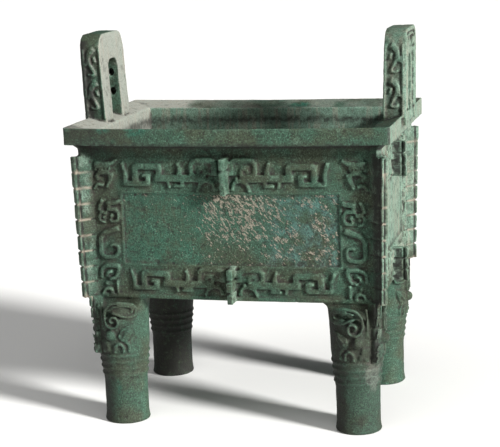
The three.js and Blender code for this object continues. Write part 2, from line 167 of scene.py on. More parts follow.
class DingColours(bpy.types.PropertyGroup):
    green: colour("Green", "Malachite green that covers most of the bronze", "#2E503D")
    olive: colour("Olive", "Duller olive green between the figures", "#37432E")
    # light green also serves as painted highlights along the ridges
    light: colour("Light green", "Worn edges and raised strokes", "#80A48D")
    teal: colour("Teal", "Blue-green patches on the panel's left and on the rim", "#1F6450")
    blue: colour("Blue grey", "Blue-grey bloom on the panel's right", "#4F7D79")
    mint: colour("Mint", "Pale powdery green of the right side", "#9DB5A2")
    tan: colour("Tan", "Tan and pinkish crust flecks", "#94897A")
    # soot is brown-black patina and is also painted shade: it darkens hollows, grooves, the strip under the
    # rim and sides turned from the light
    soot_and_shade: colour("Soot", "Brown-black in the hollows", "#100F08")
    repair: colour("Repair", "Smooth pale grey of old repairs", "#9FA096")
    rust: colour("Rust", "Red-brown cuprite along edges", "#5B3526")
    floor: colour("Floor", "Pale floor of the stage", "#F2F1EE")


def linear(hex_colour):
    """An sRGB hex colour as the linear RGBA that the nodes take."""
    parts = [int(hex_colour[i:i + 2], 16) / 255 for i in (1, 3, 5)]
    return [c / 12.92 if c <= 0.04045 else ((c + 0.055) / 1.055) ** 2.4 for c in parts] + [1.0]


def lerp(start, end, share):
    return start + (end - start) * share


class Plan:
    """The main levels of the vessel in millimetres, worked out from the sizes."""

    def __init__(self, sizes):
        mm = {name: getattr(sizes, name) / MM for name in sizes.__annotations__ if name != "triangles"}
        self.half_length = mm["body_length"] / 2
        self.half_width = mm["body_width"] / 2
        self.belly = mm["leg_height"]
        self.rim_under = self.belly + mm["body_height"]
        self.rim_top = self.rim_under + mm["rim_face"]
        self.rim_fall = mm["rim_fall"]
        self.overhang = mm["rim_overhang"]
        self.wall = mm["wall"]
        self.floor = mm["floor"]
        self.ear_rise = mm["ear_rise"]
        self.leans = {-1: mm["left_lean"], 1: mm["right_lean"]}
        self.relief = mm["relief"]
        self.sag = mm["sag"]
        self.voxel = mm["voxel"]
        self.band_top = self.rim_under - NECK
        self.panel_top = self.band_top - UPPER_BAND
        self.panel_foot = self.belly + LOWER_BAND
        self.ear_inner = self.half_length + self.overhang + EAR_OUTSET - EAR_FOOT_THICKNESS


# Places: each gives a function from (u, v, w) to a point, in millimetres. On a wall and round a leg
# u and v lie along the surface and w is the height above it.

def on_wall(turn, out, side=1, axis=0):
    """On a wall: u runs sideways from its middle or from the axis, and v up from the ground."""
    spin = Matrix.Rotation(radians(turn), 3, "Z")

    def place(u, v, w):
        return spin @ Vector((axis + side * u, -out - w, v))
    return place


def leg_radius(z):
    heights, radii = zip(*LEG_BENDS)
    return float(np.interp(z, heights, radii))


def on_leg(sign_x, sign_y, side=1):
    """Round a leg: u is the way round from its flange, v the height, w the height above the skin."""
    outward = atan2(sign_y, sign_x) - sign_x * sign_y * radians(LEG_FLANGE_TURN)

    def place(u, v, w):
        angle = outward + side * u / LEG_BENDS[-1][1]
        radius = leg_radius(v) + w
        return Vector((
            sign_x * LEG_SPAN_X / 2 + radius * cos(angle),
            sign_y * LEG_SPAN_Y / 2 + radius * sin(angle), v))
    return place


def in_ear(plan, side):
    """In an ear: across its thickness from the mouth outwards, then y, then z."""
    def place(across, y, z):
        rise = (z - plan.rim_top) / plan.ear_rise
        thickness = lerp(EAR_FOOT_THICKNESS, EAR_TOP_THICKNESS, rise)
        share = across / EAR_FOOT_THICKNESS
        return Vector((side * (plan.ear_inner + plan.leans[side] * rise + share * thickness), y, z))
    return place


# Solids, each closed, so that the voxel remesh can weld them

def closed_prism(bm, faces, height, place, foot=-SINK):
    """Raises flat faces drawn at w = 0 into a closed solid, and moves it to its place."""
    grown = bmesh.ops.extrude_face_region(bm, geom=faces, use_keep_orig=True)["geom"]
    tops = {item for item in grown if isinstance(item, bmesh.types.BMVert)}
    feet = {vert for face in faces for vert in face.verts}
    for vert in feet:
        vert.co = place(vert.co.x, vert.co.y, foot)
    for vert in tops:
        vert.co = place(vert.co.x, vert.co.y, height)


def plate(bm, outline, height, place, foot=-SINK):
    """A flat plate with a closed outline of (u, v) points."""
    face = bm.faces.new([bm.verts.new((u, v, 0)) for u, v in outline])
    closed_prism(bm, [face], height, place, foot)


def rounded(points, softness):
    """The same line with each inner corner cut by a short curve."""
    points = [Vector(point) for point in points]
    line = [points[0]]
    for before, corner, after in zip(points, points[1:], points[2:]):
        reach = min(softness, (before - corner).length / 2.1, (after - corner).length / 2.1)
        start = corner + (before - corner).normalized() * reach
        end = corner + (after - corner).normalized() * reach
        line += [start, lerp(lerp(start, corner, 0.5), lerp(corner, end, 0.5), 0.5), end]
    return line + [points[-1]]


def stroke(bm, points, width, height, place, tip=None, softness=4):
    """A raised band along a line, whose width may taper to its tip."""
    line = rounded(points, softness)
    tip = width if tip is None else tip
    last = len(line) - 1
    headings = [(b - a).normalized() for a, b in zip(line, line[1:])]
    pairs = []
    for i, point in enumerate(line):
        arriving = headings[max(i - 1, 0)]
        leaving = headings[min(i, last - 1)]
        across = Vector((-arriving.y - leaving.y, arriving.x + leaving.x))
        across *= lerp(width, tip, i / last) / 2 / (1 + arriving.dot(leaving))
        pairs.append([bm.verts.new((*(point + turn * across), 0)) for turn in (1, -1)])
    faces = [bm.faces.new((a, b, d, c)) for (a, b), (c, d) in zip(pairs, pairs[1:])]
    closed_prism(bm, faces, height, place)


def dome(bm, centre, radius, height, place):
    """A round boss, such as an eye."""
    for vert in bmesh.ops.create_uvsphere(bm, u_segments=16, v_segments=10, radius=1)["verts"]:
        u, v, w = vert.co
        vert.co = place(centre[0] + radius * u, centre[1] + radius * v, height * w)


# The vessel's box

def grow(bm, edges, half_x, half_y, z):
    """Extrudes a ring of edges to the next level."""
    grown = bmesh.ops.extrude_edge_only(bm, edges=edges)["geom"]
    verts = {item for item in grown if isinstance(item, bmesh.types.BMVert)}
    for vert in verts:
        vert.co = (copysign(half_x, vert.co.x), copysign(half_y, vert.co.y), z)
    return [item for item in grown
            if isinstance(item, bmesh.types.BMEdge) and set(item.verts) <= verts]


def build_box(bm, plan):
    """The hollow box: the belly, the walls, the neck, the rim, and down again to the floor."""
    skin_x = plan.half_length - BAND_RELIEF
    skin_y = plan.half_width - BAND_RELIEF
    made = bmesh.ops.create_grid(bm, x_segments=1, y_segments=1, size=1)["verts"]
    for vert in made:
        vert.co = (copysign(skin_x, vert.co.x), copysign(skin_y, vert.co.y), plan.belly)
    edges = list({edge for vert in made for edge in vert.link_edges})
    neck = [(0, plan.rim_under - 20), (4, plan.rim_under - 8), (12, plan.rim_under)]
    for out, z in neck:
        edges = grow(bm, edges, plan.half_length + out, plan.half_width + out, z)
    edge = plan.overhang
    for out, z in ((edge, plan.rim_under), (edge, plan.rim_top), (-plan.wall, plan.rim_top - plan.rim_fall),
                   (-plan.wall, plan.belly + plan.floor)):
        edges = grow(bm, edges, plan.half_length + out, plan.half_width + out, z)
    bmesh.ops.contextual_create(bm, geom=edges)
    # the upright edges of the walls and the rim
    corners = [item for item in bm.edges if abs(item.verts[0].co.z - item.verts[1].co.z) > 50]
    bmesh.ops.bevel(bm, geom=corners, offset=CORNER_ROUND, offset_type="OFFSET", segments=3,
                    profile=0.5, affect="EDGES", material=-1)


def walls_of(plan):
    """The four walls as (turn, half length, distance out, side band, shifts of dragons and flanges)."""
    long_wall = (plan.half_length, plan.half_width, SIDE_BAND)
    short_wall = (plan.half_width, plan.half_length, SHORT_SIDE_BAND)
    centred = ((0, 0), (0, 0))
    return [(0, *long_wall, (DRAGON_SHIFTS, FLANGE_SHIFTS)), (90, *short_wall, centred),
            (180, *long_wall, centred), (270, *short_wall, centred)]


def build_bands(bm, plan):
    """The raised frame of each wall round its sunken panel, and the border along the belly."""
    for turn, half, out, side_band, _ in walls_of(plan):
        place = on_wall(turn, out)
        reach = half - side_band
        low, high = plan.belly, plan.rim_under - SINK
        for a, b, c, d in ((-half, half, plan.panel_top, high), (-half, half, low, plan.panel_foot),
                           (-half, -reach, low, high), (reach, half, low, high)):
            plate(bm, [(a, c), (b, c), (b, d), (a, d)], 0, place, foot=-BAND_RELIEF - SINK)
        edge = half + BAND_RELIEF
        plate(bm, [(-edge, low), (edge, low), (edge, low + BORDER), (-edge, low + BORDER)],
              BAND_RELIEF, place)
        # a thin raised line frames the panel
        frame_line = [(-reach, plan.panel_foot), (reach, plan.panel_foot),
                      (reach, plan.panel_top), (-reach, plan.panel_top), (-reach, plan.panel_foot)]
        stroke(bm, frame_line, 5, 2.5, place, softness=1)


# The carved figures, drawn in millimetres. Each stroke is its points, its width and its tip's width.

# A dragon in profile, from the flange outwards and from its band's foot upwards
DRAGON = (
    (((27, 60), (27, 100), (42, 112), (98, 112), (110, 98), (110, 68), (96, 56), (74, 57), (60, 66),
      (64, 84), (82, 84)), 17, 8),
    (((58, 50), (237, 50)), 24, 22),
    (((152, 52), (149, 78), (157, 104)), 17, 10),
    (((222, 50), (222, 88), (306, 88), (306, 30)), 20, 20),
    (((262, 62), (262, 30), (341, 30), (341, 66), (352, 102)), 18, 11),
    (((262, 58), (282, 58)), 12, 9),
    (((143, 44), (140, 24), (172, 24)), 12, 9),
    (((192, 42), (186, 16)), 12, 8),
    (((30, 10), (36, 36), (60, 43), (80, 31), (90, 6)), 11, 9),
)
DRAGON_PLATE = ((30, 62), (30, 98), (44, 108), (96, 108), (106, 96), (106, 66))
DRAGON_EYES = (((46, 48), 8), ((84, 72), 6))

# The figures of a side band, from the panel's edge outwards
CRESTED_HEAD = (
    (((8, 110), (28, 97), (58, 91), (88, 93)), 9, 24),
    (((30, 66), (33, 42), (48, 14)), 18, 10),
    (((42, 66), (70, 66), (88, 50)), 14, 11),
    (((58, 22), (80, 27), (93, 8)), 12, 8),
)
CREST_COMBS = tuple(((x, 84), (x + 4, 72)) for x in (34, 46, 58, 70, 82))
STANDING_DRAGON = (
    (((5, 214), (20, 206), (52, 204)), 12, 14),
    (((66, 217), (77, 196), (80, 178)), 13, 10),
    (((52, 184), (20, 184), (9, 166), (13, 146), (36, 140), (42, 152)), 13, 9),
    (((52, 168), (68, 176), (82, 160), (76, 140), (58, 138)), 11, 8),
    (((13, 120), (32, 113), (66, 101), (80, 84), (80, 28), (66, 18), (30, 20), (18, 34), (18, 56),
      (32, 64), (46, 56)), 18, 9),
)
SQUARED_HEAD = (
    (((15, 108), (62, 108), (82, 96), (84, 64)), 14, 10),
    (((17, 106), (24, 82), (33, 66), (54, 60)), 13, 9),
    (((45, 88), (62, 84), (63, 68)), 10, 8),
    (((46, 6), (50, 27), (70, 27), (82, 6)), 12, 9),
    (((27, 56), (27, 14)), 9, 8),
)
SIDE_EYES = (
    ((78, 46), 8, "upper"), ((36, 162), 8, "middle"), ((64, 156), 7, "middle"), ((66, 45), 7, "lower"),
)

# Half a mask on a leg: the way round from the leg's flange, and the height above the ground
MASK = (
    (((152, 390), (158, 412), (146, 434), (100, 442), (62, 434), (46, 408), (44, 374), (54, 352), (74, 346),
      (90, 356), (94, 374), (84, 388), (70, 386), (64, 374), (72, 366)), 8, 7, 10),
    (((152, 390), (128, 385), (104, 391), (88, 400), (74, 404)), 8, 7, 10),
    (((140, 402), (144, 414), (134, 425), (100, 430), (72, 421)), 6, 5, 9),
    (((32, 440), (28, 404), (28, 340)), 7, 6, 5),
    (((76, 260), (78, 284), (92, 294), (106, 284), (108, 260)), 9, 8, 8),
    (((114, 300), (128, 288), (126, 262)), 10, 8, 6),
    (((132, 344), (112, 326), (106, 312)), 7, 5, 11),
)
MASK_PLATES = (
    (((146, 388), (156, 412), (144, 434), (100, 441), (62, 432), (50, 410), (76, 398), (104, 386)), 5),
    (((146, 358), (122, 354), (98, 338), (90, 318), (102, 300), (124, 304), (138, 326)), 7),
    (((22, 302), (44, 306), (52, 292), (38, 262), (22, 256)), 6),
)
MASK_EYE = ((62, 322), 19, 21)
MASK_NOSTRIL = ((50, 272), 10, 9)

# One of two fishes on an ear's edge: across the thickness, and up from the fish's foot
FISH = (
    (((18, 98), (36, 84), (44, 60), (30, 34), (18, 12)), 20, 7),
    (((44, 62), (50, 40)), 8, 6),
    (((18, 12), (32, 4), (45, 12)), 8, 6),
    (((20, 70), (14, 52)), 7, 6),
)
FISH_EYE = ((27, 86), 6)
FISH_FEET = (24, 140)

# Half of the tiger pair on an ear's outer face: sideways from the middle, and up from the rim
TIGER = (
    (((84, 20), (80, 60), (88, 120), (84, 180), (76, 214)), 17, 32, 8),
    (((84, 60), (66, 66), (62, 84)), 10, 8, 8),
    (((86, 140), (68, 146), (64, 164)), 10, 8, 8),
    (((96, 196), (92, 222), (60, 240), (34, 240), (18, 226)), 30, 14, 10),
    (((84, 26), (68, 16), (62, 30)), 11, 7, 9),
    (((92, 244), (100, 256)), 12, 8, 9),
)
TIGER_EYE = ((58, 240), 7)


def build_dragon(bm, plan, place, closer, foot, squash):
    """One dragon of a band, drawn closer together on a short wall and lower in the lower band."""
    thin = closer ** 0.5
    for points, width, tip in DRAGON:
        line = [(closer * u, foot + squash * v) for u, v in points]
        stroke(bm, line, thin * width, plan.relief, place, thin * tip)
    plate(bm, [(closer * u, foot + squash * v) for u, v in DRAGON_PLATE], plan.relief * 0.45, place)
    for (u, v), radius in DRAGON_EYES:
        dome(bm, (closer * u, foot + squash * v), thin * radius, plan.relief, place)


def build_side_figures(bm, plan, place, inner, narrow):
    """The three figures of a side band, one above the other."""
    thin = narrow ** 0.5
    feet = {"upper": plan.panel_top, "middle": plan.panel_foot + 5, "lower": plan.belly + 3}
    figures = (("upper", CRESTED_HEAD), ("middle", STANDING_DRAGON), ("lower", SQUARED_HEAD))
    for level, figure in figures:
        for points, width, tip in figure:
            line = [(inner + narrow * u, feet[level] + v) for u, v in points]
            stroke(bm, line, thin * width, plan.relief, place, thin * tip, softness=7)
    for points in CREST_COMBS:
        line = [(inner + narrow * u, feet["upper"] + v) for u, v in points]
        stroke(bm, line, 6 * thin, plan.relief * 0.8, place)
    for (u, v), radius, level in SIDE_EYES:
        dome(bm, (inner + narrow * u, feet[level] + v), thin * radius, plan.relief, place)


# The flanges

def build_flange(bm, place, root, foot_reach, top_reach, low, high, thickness, pitch, chance):
    """An upright plate of stacked blocks with thin cuts between them and along its outer strip.

    place takes the way out from the wall, the way across the thickness and the height.
    """
    count = max(1, round((high - low) / pitch))

    def piece(inner, outer, half, bottom, top):
        bottom_out, top_out = outer
        for vert in bmesh.ops.create_cube(bm, size=1)["verts"]:
            x, y, z = vert.co
            out = lerp(bottom_out, top_out, z + 0.5) if x > 0 else inner
            vert.co = place(out, 2 * half * y, lerp(bottom, top, z + 0.5))

    def reach(z):
        return lerp(foot_reach, top_reach, (z - low) / (high - low))
    piece(root, (reach(low) - 8, reach(high) - 8), thickness / 2 - CUT_DEPTH, low, high)
    for i in range(count):
        bottom = lerp(low, high, i / count) + (CUT / 2 if i else 0)
        top = lerp(low, high, (i + 1) / count) - (CUT / 2 if i < count - 1 else 0)
        wear = chance.uniform(-3, 0)
        groove = [lerp(0, reach(z), 1 - OUTER_STRIP) for z in (bottom, top)]
        piece(root, [out - GROOVE / 2 for out in groove], thickness / 2, bottom, top)
        slot = sum(groove) / 2 + GROOVE / 2
        piece(slot, (reach(bottom) + wear, reach(top) + wear), thickness / 2, bottom, top)


def build_flanges(bm, plan):
    """The flanges on the corners, on the legs and in the middle of each wall's two bands."""
    chance = Random(7)
    for sign_x, sign_y in product((-1, 1), repeat=2):
        spin = Matrix.Rotation(atan2(sign_y, sign_x), 3, "Z")
        corner = Vector((sign_x * plan.half_length, sign_y * plan.half_width, 0))

        def off_corner(out, across, z):
            return corner + spin @ Vector((out, across, z))
        build_flange(bm, off_corner, FLANGE_ROOT, FLANGE_FOOT_REACH, FLANGE_TOP_REACH,
                     plan.belly, plan.band_top, FLANGE_THICKNESS, FLANGE_PITCH, chance)
        neck = [(FLANGE_ROOT, plan.band_top - SINK), (FLANGE_NECK, plan.band_top - SINK),
                (FLANGE_NECK, plan.rim_under - 16), (FLANGE_TOP_REACH, plan.rim_under + SINK),
                (FLANGE_ROOT, plan.rim_under + SINK)]
        half = FLANGE_THICKNESS / 2
        plate(bm, neck, half, lambda out, z, w: off_corner(out, w, z), foot=-half)
        outward = on_leg(sign_x, sign_y)
        middle = Vector((sign_x * LEG_SPAN_X / 2, sign_y * LEG_SPAN_Y / 2, 0))

        def beside_leg(out, across, z):
            skin = outward(0, min(z, plan.belly), out)
            aside = Vector((-(skin - middle).y, (skin - middle).x, 0)).normalized()
            return Vector((skin.x, skin.y, z)) + across * aside
        build_flange(bm, beside_leg, LEG_FLANGE_ROOT, LEG_FLANGE_REACH, LEG_FLANGE_REACH,
                     MASK_FOOT, plan.belly + SINK, LEG_FLANGE_THICKNESS, SMALL_PITCH, chance)
    bands = ((plan.panel_top, plan.band_top), (plan.belly, plan.panel_foot))
    for turn, _, out, _, (_, shifts) in walls_of(plan):
        spin = Matrix.Rotation(radians(turn), 3, "Z")
        for (low, high), shift in zip(bands, shifts):
            build_flange(
                bm, lambda reach, across, z: spin @ Vector((shift + across, -out - reach, z)),
                -plan.wall / 2, CENTRE_REACH, CENTRE_REACH, low, high,
                CENTRE_THICKNESS, SMALL_PITCH, chance)


# The legs

def build_leg(bm, plan, sign_x, sign_y):
    """A turned column that is slightly dished underneath, with its rings and its fillet."""
    profile = [(0, 4), (55, 4), (66, 0), (76, 0), (79, 5), (77, 14)]
    profile += [(leg_radius(z), z) for z in (30, 70, 110, 150)]
    for z in RING_HEIGHTS:
        skin = leg_radius(z)
        profile += [(skin, z - 4), (skin + 4, z - 2), (skin + 4, z + 2), (skin, z + 4)]
    profile += [(leg_radius(z), z) for z in (275, 330, 380)]
    profile += [(leg_radius(plan.belly) + out, plan.belly - down)
                for out, down in ((2, 28), (7, 14), (LEG_FILLET, 0))]
    profile += [(leg_radius(plan.belly) + LEG_FILLET, plan.belly + SINK), (0, plan.belly + SINK)]
    middle = Vector((sign_x * LEG_SPAN_X / 2, sign_y * LEG_SPAN_Y / 2, 0))
    verts = [bm.verts.new(middle + Vector((radius, 0, z))) for radius, z in profile]
    edges = [bm.edges.new(pair) for pair in zip(verts, verts[1:])]
    bmesh.ops.spin(bm, geom=verts + edges, cent=middle, axis=(0, 0, 1), dvec=(0, 0, 0),
                   angle=2 * pi, steps=48, use_merge=True, use_duplicate=False)
    # the fillet doesn't stand out past the walls
    for vert in bm.verts:
        if vert.co.z > plan.belly - 30:
            edge_x, edge_y = plan.half_length - 2, plan.half_width - 2
            vert.co.x = max(-edge_x, min(edge_x, vert.co.x))
            vert.co.y = max(-edge_y, min(edge_y, vert.co.y))


def build_mask(bm, sign_x, sign_y):
    """The animal mask at a leg's top, as two halves beside its flange."""
    for side in (-1, 1):
        place = on_leg(sign_x, sign_y, side)
        for points, width, tip, height in MASK:
            stroke(bm, points, width, height, place, tip, softness=14)
        for outline, height in MASK_PLATES:
            plate(bm, outline, height, place)
        for centre, radius, height in (MASK_EYE, MASK_NOSTRIL):
            dome(bm, centre, radius, height, place)


# The ears

def loop_line(plan, half_width, height, corner, reverse=False):
    """An upright arch with round shoulders, from foot to foot."""
    top = plan.rim_top + height
    line = [(half_width, plan.rim_top - EAR_SEAT)]
    for start in (0, 90):
        side = 1 if start == 0 else -1
        for i in range(7):
            angle = radians(start + 15 * i)
            line.append((side * (half_width - corner) + corner * cos(angle),
                         top - corner + corner * sin(angle)))
    line.append((-half_width, plan.rim_top - EAR_SEAT))
    return line[::-1] if reverse else line


def build_ear(bm, plan, side):
    """A loop ear with a double frame and a pair of tigers outside, and two fishes on each edge."""
    ear = in_ear(plan, side)
    outline = loop_line(plan, EAR_HALF_WIDTH, plan.ear_rise, EAR_CORNER)
    outline += loop_line(plan, LOOP_HALF_WIDTH, LOOP_HEIGHT, LOOP_CORNER, reverse=True)
    plate(bm, outline, EAR_FOOT_THICKNESS, lambda y, z, w: ear(w, y, z), foot=0)

    def outer(flip):
        return lambda y, z, w: ear(EAR_FOOT_THICKNESS, flip * y, z) + Vector((side * w, 0, 0))
    for inset, width in EAR_FRAMES:
        frame_line = loop_line(plan, EAR_HALF_WIDTH - inset, plan.ear_rise - inset, EAR_CORNER - 8)
        coarse = [frame_line[0]] + frame_line[1:-1:2] + [frame_line[-1]]
        stroke(bm, coarse, width, FRAME_HEIGHT, outer(1), softness=1)
    for flip in (-1, 1):
        for points, width, tip, height in TIGER:
            line = [(y, plan.rim_top + z) for y, z in points]
            stroke(bm, line, width, height, outer(flip), tip, softness=14)
        (y, z), radius = TIGER_EYE
        dome(bm, (y, plan.rim_top + z), radius, 12, outer(flip))
    for end in (-1, 1):
        def edge(u, v, w):
            return ear(u, end * (EAR_HALF_WIDTH + w), v)
        top = plan.rim_top + plan.ear_rise - EAR_CORNER
        for u in (4, EAR_FOOT_THICKNESS - 4):
            stroke(bm, [(u, plan.rim_top - 4), (u, top)], 7, 6, edge)
        for foot in FISH_FEET:
            for points, width, tip in FISH:
                line = [(FISH_INSET + u, plan.rim_top + foot + v) for u, v in points]
                stroke(bm, line, width, FISH_HEIGHT, edge, tip, softness=12)
            (u, v), radius = FISH_EYE
            dome(bm, (FISH_INSET + u, plan.rim_top + foot + v), radius, FISH_HEIGHT + 3, edge)


def sub_parts(plan):
    """Every sub-part's function with what it takes, so that each is built in a small mesh of its own."""
    parts = [(build_box, plan), (build_bands, plan), (build_flanges, plan)]
    for signs in product((-1, 1), repeat=2):
        parts += [(build_leg, plan, *signs), (build_mask, *signs)]
    parts += [(build_ear, plan, side) for side in (-1, 1)]
    bands = ((plan.panel_top, 1.0), (plan.belly + BORDER, (LOWER_BAND - BORDER) / UPPER_BAND))
    for turn, half, out, side_band, (shifts, _) in walls_of(plan):
        panel_edge = half - side_band
        closer = panel_edge / (plan.half_length - SIDE_BAND)
        for side in (-1, 1):
            parts += [(build_dragon, plan, on_wall(turn, out, side, shift), closer, *band)
                      for band, shift in zip(bands, shifts)]
            parts.append((build_side_figures, plan, on_wall(turn, out, side), panel_edge,
                          side_band / SIDE_BAND))
    return parts


# Welding

def mesh_arrays(mesh):
    """The vertices, their normals and the edges of a mesh."""
    count = len(mesh.vertices)
    places = np.empty(3 * count, np.float32)
    mesh.vertices.foreach_get("co", places)
    normals = np.empty(3 * count, np.float32)
    mesh.vertices.foreach_get("normal", normals)
    edges = np.empty(2 * len(mesh.edges), np.int32)
    mesh.edges.foreach_get("vertices", edges)
    return places.reshape(-1, 3).astype(float), normals.reshape(-1, 3).astype(float), edges.reshape(-1, 2)


def eased(values, edges, rounds, strength=0.5):
    """Values averaged again and again with those of their neighbours."""
    starts, ends = edges.T
    count = len(values)
    degree = np.maximum(np.bincount(starts, minlength=count) + np.bincount(ends, minlength=count), 1)
    values = values.copy()
    columns = values.reshape(count, -1)
    for _ in range(rounds):
        for column in columns.T:
            total = np.bincount(starts, column[ends], count) + np.bincount(ends, column[starts], count)
            column += strength * (total / degree - column)
    return values


def grain(places, size, seed):
    """Smooth noise between -1 and 1, with lumps about `size` millimetres across."""
    cell = places / size + 37.7 * seed
    corner = np.floor(cell).astype(np.int64)
    share = cell - corner
    share = share * share * (3 - 2 * share)
    total = np.zeros(len(places))
    for offset in product((0, 1), repeat=3):
        key = (corner + offset) @ np.array((73856093, 19349663, 83492791))
        key = (key ^ (key >> 13)) * 1274126177 & 0x7FFFFFFF
        value = ((key ^ (key >> 16)) & 0xFFFF) / 32767.5 - 1
        total += value * np.prod(np.where(offset, share, 1 - share), axis=1)
    return total


def step(values, low, high):
    """Rises smoothly from 0 at low to 1 at high."""
    share = np.clip((values - low) / (high - low), 0, 1)
    return share * share * (3 - 2 * share)


def oval(across, up, patch, ragged, size=1.1, edge=0.3):
    """1 inside an oval patch and 0 outside it, with a soft and ragged edge."""
    at_across, at_up, half_across, half_up = patch
    reach = np.hypot((across - at_across) / half_across, (up - at_up) / half_up)
    return step(size - reach + ragged, 0, edge)


def modified(mesh, kind, **settings):
    """What one modifier makes of a mesh."""
    carrier = bpy.data.objects.new("carrier", mesh)
    bpy.context.scene.collection.objects.link(carrier)
    modifier = carrier.modifiers.new("only", kind)
    for name, value in settings.items():
        setattr(modifier, name, value)
    depsgraph = bpy.context.evaluated_depsgraph_get()
    made = bpy.data.meshes.new_from_object(
        carrier.evaluated_get(depsgraph), preserve_all_data_layers=True, depsgraph=depsgraph)
    bpy.data.objects.remove(carrier)
    bpy.data.meshes.remove(mesh)
    return made


def off_corners(plan, x, y, z):
    """How far each point lies out from the nearest corner and aside of it, and the flange's reach there."""
    out_x, out_y = abs(x) - plan.half_length, abs(y) - plan.half_width
    tall = np.interp(z, (plan.belly, plan.band_top), (FLANGE_FOOT_REACH, FLANGE_TOP_REACH))
    return (out_x + out_y) / 2 ** 0.5, abs(out_x - out_y) / 2 ** 0.5, tall


def off_leg_skins(x, y, z):
    """How far each point lies out from the nearest leg's skin along its flange, and aside of it."""
    leg_x, leg_y = abs(x) - LEG_SPAN_X / 2, abs(y) - LEG_SPAN_Y / 2
    turn = radians(45 - LEG_FLANGE_TURN)
    reach = leg_x * cos(turn) + leg_y * sin(turn) - np.interp(z, *zip(*LEG_BENDS))
    return reach, abs(leg_y * cos(turn) - leg_x * sin(turn))


def flanges_at(plan, x, y, z):
    """How far each point lies on a flange, on a cut of a corner flange and on a groove."""
    along, across, tall = off_corners(plan, x, y, z)
    corner = step(along, 2, 6) * (across < FLANGE_THICKNESS / 2 + 4)
    corner = corner * (z < plan.band_top + 6) * (z > plan.belly - 6)
    reach, aside = off_leg_skins(x, y, z)
    leg = (reach > 4) * (aside < LEG_FLANGE_THICKNESS / 2 + 3) * (z < plan.belly) * (z > MASK_FOOT - 4)
    out_x, out_y = abs(x) - plan.half_length, abs(y) - plan.half_width
    axis = np.where(y < 0, np.where(z > plan.panel_top - 4, *FLANGE_SHIFTS), 0)
    half = CENTRE_THICKNESS / 2 + 3
    middle = (abs(x - axis) < half) * (out_y > 5) * (out_y < CENTRE_REACH + 4)
    middle = middle + (abs(y) < half) * (out_x > 5)
    middle = middle * (z < plan.band_top + 4) * (z > plan.belly - 4)
    middle = middle * ((z > plan.panel_top - 4) | (z < plan.panel_foot + 4))
    pitch = (plan.band_top - plan.belly) / round((plan.band_top - plan.belly) / FLANGE_PITCH)
    turns = (z - plan.belly) / pitch
    cut = corner * step(4.5 - abs(turns - np.round(turns)) * pitch, 0, 2) * (z < plan.band_top - 10)
    grooves = (corner * step(GROOVE / 2 + 2 - abs(along - (1 - OUTER_STRIP) * tall), 0, 3),
               corner * (along > tall - 10) * step(5 - across, 0, 2),
               leg * step(5 - abs(reach - 15), 0, 3))
    return np.clip(corner + leg + middle, 0, 1), cut, np.maximum.reduce(grooves)


def groove_edges(places, plan):
    """A groove down the middle of each corner flange's outer edge."""
    x, y, z = places.T
    along, across, tall = off_corners(plan, x, y, z)
    slot = step(5 - across, 0, 3) * (along > tall - 6) * (z < plan.band_top - 4) * (z > plan.belly + 4)
    places[:, 0] -= np.sign(x) * EDGE_GROOVE_DEPTH * slot
    places[:, 1] -= np.sign(y) * EDGE_GROOVE_DEPTH * slot


def drill(places, plan):
    """Two holes, a little taller than wide, in the far jamb of the left ear."""
    x, y, z = places.T
    middle = -plan.ear_inner - EAR_FOOT_THICKNESS / 2 + PIN_HOLE_SHIFT
    for height in PIN_HOLE_HEIGHTS:
        lean = plan.leans[-1] * height / plan.ear_rise
        aside = np.hypot(x - middle + lean, (z - plan.rim_top - height) / PIN_HOLE_STRETCH)
        inside = step(PIN_HOLE / 2 + 2 - aside, 0, 3) * (abs(y - LOOP_HALF_WIDTH) < 8)
        places[:, 1] += PIN_HOLE_DEPTH * inside


def roughen(places, normals, plan, lumps):
    """Lays lumps, crust and pits on the skin, and gives where the panels, the crust and the pits are."""
    x, y, z = places.T
    broad, middling, small = lumps
    fine = grain(places, 8, 4)
    outside = step(np.maximum(abs(x) - plan.half_length + 20, abs(y) - plan.half_width + 20), 0, 10)
    panel = step(plan.half_length - SIDE_BAND - abs(x), 0, 6) * step(z - plan.panel_foot, 0, 6)
    panel *= step(plan.panel_top - z, 0, 6) * (abs(y) > plan.half_width - 12) * outside
    # the crust is thick in the panel's middle, thins out towards its foot and lies in patches on its right
    wander = x + 60 * middling + 50 * broad
    thick = step(wander, -150, 0) * step(-wander, -240, -60)
    thick *= 0.4 + 0.6 * step(z, plan.panel_foot + 40, plan.panel_foot + 140)
    patchy = step(wander, 100, 200) * step(middling + 0.4 * broad, -0.1, 0.5)
    crust = panel * np.clip(0.12 + 0.72 * thick + 0.42 * patchy + 0.25 * broad, 0, 1)
    slanting = np.column_stack((0.79 * x + 0.62 * z, y, 0.3 * z - 0.24 * x))
    flecks = step(grain(slanting, 10, 5), 0.1, 0.5)
    pits = step(grain(places, 14, 6) + 0.4 * fine, 0.45, 0.75) * outside
    move = 0.8 * broad + 0.45 * middling + 0.35 * small + 0.3 * fine + 1.4 * crust * flecks - pits
    places += normals * move[:, None]
    return panel, crust, pits


def bow(places, plan):
    """Bows the long walls and the rim outwards and lets them sag in their middle."""
    x, y, z = places.T
    along = np.clip(1 - (x / (plan.half_length + plan.overhang)) ** 2, 0, 1)
    height = step(z, plan.belly - 150, plan.belly + 100)
    places[:, 1] += np.sign(y) * plan.sag * along * height * np.clip(abs(y) / plan.half_width, 0, 1) ** 2
    places[:, 2] -= 0.5 * plan.sag * along * step(z, plan.belly - 60, plan.belly) * (abs(y) > 60)
    places[:, 2] = np.maximum(places[:, 2], 0)


